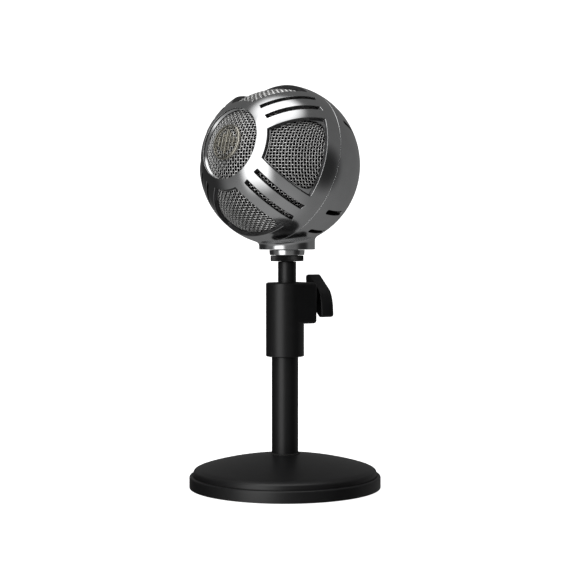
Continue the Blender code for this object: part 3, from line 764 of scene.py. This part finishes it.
def make_flange():
    """Round foot of the head. Its wall runs into the ball in a hollow curve."""
    rings = []
    for k in range(160):
        a = math.tau * k / 160
        c, s = math.cos(a), math.sin(a)

        def on_skin(r, clear):
            dx, dy = ROD[0] + r * c - BALL[0], ROD[1] + r * s - BALL[1]
            return BALL[2] - math.sqrt((BALL_R + clear) ** 2 - dx * dx - dy * dy)

        wall_top = on_skin(19.7, 0.0)
        start = max(168.6, wall_top - 2.4)
        profile = rounded([(10.3, 167.8, 0.05), (19.7, 167.8, 0.5), (19.7, start, 0.0)], 5, closed=False)
        end = (22.6, on_skin(22.6, 0.02))
        for n in range(1, 9):
            t = n / 8
            r = 19.7 * (1 - t) ** 2 + 19.75 * 2 * t * (1 - t) + end[0] * t * t
            z = start * (1 - t) ** 2 + (wall_top - 0.1) * 2 * t * (1 - t) + end[1] * t * t
            profile.append((r, min(z, on_skin(r, 0.02))))
        profile += [(r, on_skin(r, -0.4)) for r in (22.2, 19.0, 15.0)]
        profile.append((10.3, on_skin(10.3, 0.2)))
        rings.append([(r * c, r * s, z) for r, z in profile])
    add_piece("neck_flange_fine", *skin(rings), "chrome", "rod_and_head", ["neck_flange"], AT_ROD, sharp=50)


# ---------------------------------------------------------------- stand

def dome_points():
    """The base's top from its edge to the tube: a straight rise with a little crown."""
    edge, edge_z, middle, middle_z, crown = 61.5, 13.8, 10.6, 23.75, 1.3
    pts = []
    for i in range(29):
        t = i / 28
        z = edge_z + (middle_z - edge_z) * t + crown * math.sin(math.pi * t ** 0.8)
        pts.append((edge + (middle - edge) * t, z))
    return pts


def make_base():
    rim = [(65.2, 0.4, 0.1), (67.5, 0.4, 0.35), (67.5, 8.5, 1.1), (65.35, 8.95, 0.12)]
    notch = [(65.3, 8.35, 0.05), (64.85, 8.35, 0.05), (64.8, 9.2, 0.1), (64.55, 11.9, 1.1), (63.1, 13.15, 0.6)]
    wall = rounded(rim + notch, 6)
    top = dome_points()
    under = [(r, z - 2.3) for r, z in reversed(top)]
    step = [(62.4, 10.0), (62.4, 8.0), (65.2, 6.0)]
    add_piece("base_cover_fine", *lathe(wall + top + under + step, 256), "satin_black", "stand",
              ["base_cover"], sharp=28)
    pad = [(12, 0.2, 0.1), (12.6, 0, 0.2)]
    for r in (30.0, 46.0, 60.0):
        pad += [(r, 0, 0.1), (r + 0.3, 0.7, 0.1), (r + 1.5, 0.7, 0.1), (r + 1.8, 0, 0.1)]
    pad += [(64.2, 0, 0.3), (64.6, 0.4, 0.1), (64.6, 2.3, 0.1), (12, 2.3, 0.1)]
    add_piece("base_pad_fine", *lathe(rounded(pad, 2), 160), "rubber", "stand", ["base_pad"])
    lip = rounded([(9.66, 21.5, 0.1), (10.3, 21.5, 0.1), (10.3, 24.6, 0.3), (9.66, 24.6, 0.15)])
    add_piece("foot_ring_fine", *lathe(lip, 120), "rubber", "stand", ["foot_ring"])
    bolt = [(0, 21, 0), (3.6, 21, 0.1), (3.9, 20.6, 0.1), (3.9, 10.1, 0.05), (7, 10.1, 0.3), (7, 6.1, 0.6),
            (0, 6.1, 0)]
    bolt = lathe(rounded(bolt, 4, closed=False), 96)
    socket = slab(circle(2.9, 6), 5.0, 8.8, 0.01)
    add_piece("base_bolt_fine", *carve(bolt, [("DIFFERENCE", socket)]), "steel", "stand", ["base_bolt"])


def make_tubes():
    tube_wall = rounded([(8.36, 12.3, 0.1), (9.36, 12.3, 0.2), (9.36, 117.7, 0.3), (8.36, 117.7, 0.3)])
    add_piece("outer_tube_fine", *lathe(tube_wall, 128), "satin_black", "stand", ["outer_tube"])
    outside = [(5.2, 74.0, 0.2), (6.4, 74.0, 0.4), (6.4, 159.3, 0.5), (4.5, 159.3, 0.1), (4.5, 168.0, 0.3)]
    sliding = rounded(outside + [(3.4, 168.0, 0.1), (3.4, 157.3, 0.1), (5.2, 155.3, 0.1)])
    add_piece("inner_rod_fine", *lathe(sliding, 128), "satin_black", "rod_and_head", ["inner_rod"], AT_ROD)
    guide = rounded([(6.7, 139.3, 0.1), (8.3, 139.3, 0.1), (8.3, 144.35, 0.2), (6.7, 144.35, 0.45)])
    add_piece("guide_ring_fine", *lathe(guide, 96), "nylon", "rod_guide", ["guide_ring"], AT_ROD)


def make_clamp():
    sleeve = [(0, CLAMP_HIGH, 0), (CLAMP_R, CLAMP_HIGH, 1.6), (CLAMP_R, CLAMP_LOW, 0.8), (0, CLAMP_LOW, 0)]
    sleeve = lathe(rounded(sleeve, 8, closed=False), 160)
    plan = rounded([(0, -LUG_HALF_WIDTH, 0), (LUG_END, -LUG_HALF_WIDTH, 2.4), (LUG_END, LUG_HALF_WIDTH, 2.4),
                    (0, LUG_HALF_WIDTH, 0)], 8)
    lug = slab(plan, LUG_LOW, CLAMP_HIGH - 0.02, 2.2, both=True, segments=8)
    side = Matrix.Rotation(math.pi / 2, 4, "Y")
    rod_at = Matrix.Translation((1.65, 0, 0))
    cuts = [("UNION", lug),
            ("DIFFERENCE", rod(9.66, CLAMP_LOW - 1, 118.0)),
            ("DIFFERENCE", moved(rod(6.7, CLAMP_LOW, CLAMP_HIGH + 1), rod_at)),
            ("DIFFERENCE", moved(rod(8.6, 139.0, CLAMP_HIGH + 1), rod_at)),
            ("DIFFERENCE", moved(rod(SCREW_HOLE_R, 0, 20), Matrix.Translation((0, 0, SCREW_Z)) @ side)),
            ("DIFFERENCE", moved(rod(2.3, 6, 14.6), Matrix.Translation((0, 0, CLAMP_LOW + 9)) @ side))]
    add_piece("clamp_body_fine", *carve(sleeve, cuts), "satin_black", "stand", ["clamp_body"], CLAMP, sharp=24)


def make_knob():
    """The wing, the same when turned half round, and its hub. Local Z is the screw's direction, X is down."""
    half = [(-14.3, 11.5, 1.6), (-15.3, 7.7, 1.6), (-3.0, -8.0, 3.5), (4.5, -10.7, 4.5)]
    outline = rounded(half + [(-x, -y, r) for x, y, r in half], 5)
    wing = slab(outline, KNOB_BACK, KNOB_FRONT, 0.9, both=True, segments=4)
    hub = [(0, 19.1, 0), (6, 19.1, 0.4), (6, 25.5, 0), (0, 25.5, 0)]
    hub = lathe(rounded(hub, 4, closed=False), 64)
    shape = carve(wing, [("UNION", hub), ("DIFFERENCE", rod(SCREW_HOLE_R, 17.8, 28.8))])
    add_piece("clamp_knob_fine", *shape, "satin_black", "knob", ["clamp_knob"], KNOB, sharp=30)


# ---------------------------------------------------------------- rear fittings

def box_outline(middle, half, corner):
    """A rounded rectangle round a middle point, with half its width and half its height."""
    (x, y), (a, b) = middle, half
    corners = [(x - a, y - b), (x + a, y - b), (x + a, y + b), (x - a, y + b)]
    return rounded([(*point, corner) for point in corners], 2)


def make_rear_fittings():
    screw = [(0, 1.0), (1.3, 1.0), (1.3, -33.9), (2.9, -33.9), (2.9, -35.0), (2.5, -35.6), (1.6, -35.9),
             (0, -35.9)]
    cross = [slab(box_outline((0, 0), half, 0.1), -36.6, -34.9, 0.05) for half in ((1.6, 0.33), (0.33, 1.6))]
    for k, post in enumerate(POSTS):
        shape = carve(lathe(screw, 48), [("DIFFERENCE", bar) for bar in cross])
        add_piece(f"shell_screw_fine_{k + 1}", *moved(shape, Matrix.Translation((*post, 0))), "steel",
                  "rod_and_head", [f"shell_screw_{k + 1}"], HEAD)
    plan = rounded([(-1.7, 16.5, 0.3), (1.7, 16.5, 0.3), (1.7, 19.5, 0.3), (-1.7, 19.5, 0.3)], 3)
    stem = slab(plan, -53.8, -38.7, 0.05)
    ribs = [slab(box_outline((x, 18), (0.35, 1.4), 0.1), -54.6, -53.5, 0.12, both=True) for x in (-1.2, 0, 1.2)]
    add_piece("mode_slider_fine", *together(stem, *ribs), "matte_black", "slider", ["mode_slider"], HEAD)
    plan = rounded([(-2.6, -21.2, 0.2), (2.6, -21.2, 0.2), (2.6, -18.8, 0.2), (-2.6, -18.8, 0.2)], 3)
    tongue = slab(plan, -48.0, -39.4, 0.3, both=True)
    add_piece("socket_tongue", *tongue, "matte_black", "rod_and_head", None, HEAD)
    leaves = [slab(box_outline((x, y), (0.45, 0.1), 0.05), -47.4, -40.0, 0.05, both=True)
              for x in (-1.2, 1.2) for y in (-21.28, -18.72)]
    add_piece("socket_contacts", *together(*leaves), "brass", "rod_and_head", None, HEAD)


CAD_FINISH = {
    "steel": ["base_washer", "clamp_grub_screw", "clamp_screw", "mesh_ring", "neck_nut", "tube_plug",
              "usb_socket", "board_screw_1", "board_screw_2", "board_screw_3", "board_screw_4"],
    "cast_iron": ["base_weight"],
    "brass": ["capsule", "pressure_pad", "thread_insert", "standoff_1", "standoff_2", "standoff_3",
              "standoff_4"],
    "rubber": ["capsule_cradle"],
    "aluminium": ["chassis_ring"],
    "board_green": ["circuit_board"],
    "matte_black": ["mode_switch"],
    "nylon": ["rod_plug"],
}


def finish_cad_nodes():
    for slot_name, names in CAD_FINISH.items():
        for name in names:
            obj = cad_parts[name]
            for material_slot in obj.material_slots:
                material_slot.link = "OBJECT"
                material_slot.material = MATS[slot_name]


# ---------------------------------------------------------------- studio

def direction(azimuth, elevation):
    a, e = math.radians(azimuth), math.radians(elevation)
    return Vector((math.sin(a) * math.cos(e), -math.cos(a) * math.cos(e), math.sin(e)))


def only_seen_by(obj, camera=False, glossy=False, diffuse=False):
    obj.visible_camera = camera
    obj.visible_glossy = glossy
    obj.visible_diffuse = diffuse
    obj.visible_transmission = False
    obj.visible_shadow = False


def softbox(name, azimuths, elevations, strength, soft):
    """A curved white panel round the object that fades towards its edges."""
    columns, rows = 24, 24
    centre, distance = Vector((0, 0, 0.2)), 1.6
    verts, uvs, faces = [], [], []
    for j in range(rows + 1):
        for i in range(columns + 1):
            u, v = i / columns, j / rows
            verts.append(centre + distance * direction(azimuths[0] + (azimuths[1] - azimuths[0]) * u,
                                                       elevations[0] + (elevations[1] - elevations[0]) * v))
            uvs.append((u, v))
    for j in range(rows):
        for i in range(columns):
            k = j * (columns + 1) + i
            faces.append((k, k + 1, k + columns + 2, k + columns + 1))
    mesh = bpy.data.meshes.new(name)
    mesh.from_pydata(verts, [], faces)
    layer = mesh.uv_layers.new(name="UVMap")
    for loop in mesh.loops:
        layer.data[loop.index].uv = uvs[loop.vertex_index]
    mat = bpy.data.materials.new(name)
    mat.use_nodes = True
    nodes, links = mat.node_tree.nodes, mat.node_tree.links
    nodes.clear()
    where = nodes.new("ShaderNodeTexCoord")
    split = nodes.new("ShaderNodeSeparateXYZ")
    links.new(where.outputs["UV"], split.inputs["Vector"])
    fades = []
    for axis in ("X", "Y"):
        fold = nodes.new("ShaderNodeMath")
        fold.operation = "PINGPONG"
        fold.inputs[1].default_value = 0.5
        links.new(split.outputs[axis], fold.inputs[0])
        fade = nodes.new("ShaderNodeMapRange")
        fade.interpolation_type = "SMOOTHSTEP"
        fade.inputs["From Max"].default_value = soft
        links.new(fold.outputs[0], fade.inputs["Value"])
        fades.append(fade.outputs["Result"])
    both = nodes.new("ShaderNodeMath")
    both.operation = "MULTIPLY"
    links.new(fades[0], both.inputs[0])
    links.new(fades[1], both.inputs[1])
    power = nodes.new("ShaderNodeMath")
    power.operation = "MULTIPLY"
    power.inputs[1].default_value = strength
    links.new(both.outputs[0], power.inputs[0])
    glow = nodes.new("ShaderNodeEmission")
    links.new(power.outputs[0], glow.inputs["Strength"])
    see_through = nodes.new("ShaderNodeBsdfTransparent")
    added = nodes.new("ShaderNodeAddShader")
    links.new(glow.outputs["Emission"], added.inputs[0])
    links.new(see_through.outputs["BSDF"], added.inputs[1])
    out = nodes.new("ShaderNodeOutputMaterial")
    links.new(added.outputs["Shader"], out.inputs["Surface"])
    mesh.materials.append(mat)
    obj = bpy.data.objects.new(name, mesh)
    bpy.context.scene.collection.objects.link(obj)
    only_seen_by(obj, glossy=True, diffuse=True)


# Soft patches of the room: azimuth, elevation, outer and inner angle, and how many times as bright as the rest.
# Two dark flags, a lighter patch low in front and the overhead light.
WORLD_TONES = (
    (114, -4, 34, 8, 0.18),
    (-82, -10, 42, 14, 0.20),
    (20, -46, 62, 18, 1.6),
    (25, 81, 33, 13, 14.0),
)


def studio_world():
    """A grey room, lighter low down, with a wide soft light overhead and a dark flag on each side."""
    world = bpy.data.worlds.new("studio")
    bpy.context.scene.world = world
    world.use_nodes = True
    nodes, links = world.node_tree.nodes, world.node_tree.links
    back = nodes["Background"]
    where = nodes.new("ShaderNodeTexCoord")
    split = nodes.new("ShaderNodeSeparateXYZ")
    links.new(where.outputs["Generated"], split.inputs["Vector"])
    level = nodes.new("ShaderNodeValToRGB")
    level.color_ramp.elements[0].position = 0.0
    level.color_ramp.elements[0].color = (0.20, 0.20, 0.20, 1)
    level.color_ramp.elements[1].position = 1.0
    level.color_ramp.elements[1].color = (0.12, 0.12, 0.12, 1)
    middle = level.color_ramp.elements.new(0.4)
    middle.color = (0.15, 0.15, 0.15, 1)
    lift = nodes.new("ShaderNodeMapRange")
    lift.inputs["From Min"].default_value = -1
    links.new(split.outputs["Z"], lift.inputs["Value"])
    links.new(lift.outputs["Result"], level.inputs["Fac"])
    tone = level.outputs["Color"]
    for azimuth, elevation, wide, narrow, factor in WORLD_TONES:
        near = nodes.new("ShaderNodeVectorMath")
        near.operation = "DOT_PRODUCT"
        near.inputs[1].default_value = direction(azimuth, elevation)
        links.new(where.outputs["Generated"], near.inputs[0])
        shade = nodes.new("ShaderNodeMapRange")
        shade.interpolation_type = "SMOOTHSTEP"
        shade.inputs["From Min"].default_value = math.cos(math.radians(wide))
        shade.inputs["From Max"].default_value = math.cos(math.radians(narrow))
        shade.inputs["To Min"].default_value = 1.0
        shade.inputs["To Max"].default_value = factor
        links.new(near.outputs["Value"], shade.inputs["Value"])
        patch = nodes.new("ShaderNodeVectorMath")
        patch.operation = "SCALE"
        links.new(tone, patch.inputs[0])
        links.new(shade.outputs["Result"], patch.inputs["Scale"])
        tone = patch.outputs["Vector"]
    links.new(tone, back.inputs["Color"])


def white_material(name, glow):
    mat = bpy.data.materials.new(name)
    mat.use_nodes = True
    shader = mat.node_tree.nodes["Principled BSDF"]
    shader.inputs["Base Color"].default_value = (0.9, 0.9, 0.9, 1)
    shader.inputs["Roughness"].default_value = 0.9
    shader.inputs["Emission Color"].default_value = (1, 1, 1, 1)
    shader.inputs["Emission Strength"].default_value = glow
    return mat


def make_studio():
    studio_world()
    softbox("softbox_front", (-16, 39), (-46, 89), 1.8, 0.30)
    bm = bmesh.new()
    bmesh.ops.create_circle(bm, cap_ends=True, segments=96, radius=14)
    floor_mesh = bpy.data.meshes.new("floor")
    bm.to_mesh(floor_mesh)
    bm.free()
    floor_mesh.materials.append(white_material("floor_white", 1.0))
    floor = bpy.data.objects.new("floor", floor_mesh)
    floor.location.z = -0.0001
    bpy.context.scene.collection.objects.link(floor)
    floor.visible_glossy = False
    floor.visible_diffuse = False
    bm = bmesh.new()
    bmesh.ops.create_uvsphere(bm, u_segments=64, v_segments=32, radius=14)
    room_mesh = bpy.data.meshes.new("backdrop")
    bm.to_mesh(room_mesh)
    bm.free()
    room_mesh.materials.append(white_material("backdrop_white", 1.2))
    room = bpy.data.objects.new("backdrop", room_mesh)
    bpy.context.scene.collection.objects.link(room)
    only_seen_by(room, camera=True)


def make_camera():
    data = bpy.data.cameras.new("camera")
    data.lens = 91.4
    data.sensor_width = 36
    data.dof.use_dof = False
    camera = bpy.data.objects.new("camera", data)
    turn = math.radians(44.5)
    camera.location = (1.0175 * math.sin(turn), -1.0175 * math.cos(turn), 0.1768)
    camera.rotation_euler = (math.pi / 2 - math.radians(1.912), 0, turn)
    bpy.context.scene.collection.objects.link(camera)
    bpy.context.scene.camera = camera
    bpy.context.scene.view_settings.view_transform = "Standard"


# ---------------------------------------------------------------- the whole

make_camera()
make_studio()
make_shells()
make_posts()
make_mesh_dome()
make_badge()
make_neck()
make_base()
make_tubes()
make_clamp()
make_knob()
make_rear_fittings()
finish_cad_nodes()
